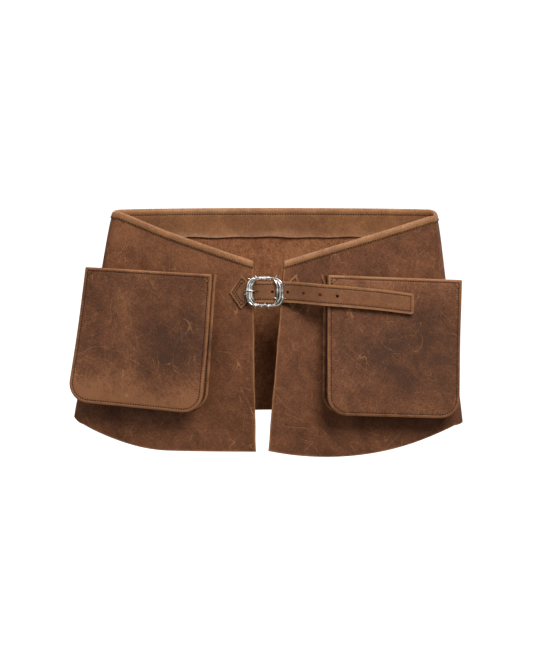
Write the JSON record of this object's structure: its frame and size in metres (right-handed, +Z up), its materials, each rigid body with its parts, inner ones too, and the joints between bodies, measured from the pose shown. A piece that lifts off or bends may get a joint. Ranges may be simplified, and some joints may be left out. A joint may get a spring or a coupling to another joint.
{
  "type": "tool belt",
  "caption": "Leather apron-style tool belt: a waist loop with a V front, two big open pockets, and a strap with a centre-bar buckle.",
  "frame": {"origin": "middle of the waist opening, level with the top edge of the back", "axes": "+X to the right as seen from the front, across the belt's width; +Y from the front to the back; +Z up, as worn"},
  "size_m": [0.5606, 0.1607, 0.3529],
  "materials": {
    "body_leather": "satin",
    "suede": "matte",
    "band_leather": "satin",
    "strap_leather": "satin",
    "silver_metal": "polished",
    "thread": "matte"
  },
  "bodies": {
    "back": {"back_panel": "body_leather", "left_panel_bend": "body_leather", "right_panel_bend": "body_leather", "back_waistband": "band_leather", "left_waistband_bend": "band_leather", "right_waistband_bend": "band_leather"},
    "left_front": {"left_front_panel": "body_leather", "left_waistband": "band_leather", "left_pocket_front": "body_leather", "left_pocket_gusset": "body_leather", "strap_anchor": "strap_leather", "strap_anchor_lining": "strap_leather"},
    "right_front": {"right_front_panel": "body_leather", "right_waistband": "band_leather", "right_pocket_front": "body_leather", "right_pocket_gusset": "body_leather", "buckle_tab": "strap_leather"},
    "strap": {"strap": "strap_leather", "strap_lining": "strap_leather"},
    "buckle": {"buckle_frame": "silver_metal", "buckle_centre_bar": "silver_metal"},
    "tongue": {"buckle_tongue": "silver_metal"}
  },
  "joints": [
    {"name": "right_front_swing", "type": "hinge", "parent": "back", "child": "right_front", "pos_m": [0.2195, 0, 0], "axis": [-0.1221, 0, 0.9925], "range_deg": [0, 140], "deforming": ["right_panel_bend", "right_waistband_bend"]},
    {"name": "left_front_swing", "type": "hinge", "parent": "back", "child": "left_front", "pos_m": [-0.2195, 0, 0], "axis": [-0.1705, 0, -0.9854], "range_deg": [0, 140], "deforming": ["left_panel_bend", "left_waistband_bend"]},
    {"name": "strap_release", "type": "hinge", "parent": "left_front", "child": "strap", "pos_m": [-0.0432, -0.0576, -0.112], "axis": [0, 0, -1], "range_deg": [0, 95], "deforming": ["strap", "strap_lining"]},
    {"name": "buckle_tilt", "type": "hinge", "parent": "right_front", "child": "buckle", "pos_m": [-0.0128, -0.0625, -0.112], "axis": [0, 0, 1], "range_deg": [-2.5, 5]},
    {"name": "tongue_swing", "type": "hinge", "parent": "buckle", "child": "tongue", "pos_m": [-0.0128, -0.0625, -0.112], "axis": [0, 0, 1], "range_deg": [0, 110]}
  ],
  "couplings": [
    {"joint": "left_front_swing", "follows": "right_front_swing", "ratio": 1},
    {"joint": "tongue_swing", "follows": "strap_release", "ratio": 1.15}
  ]
}
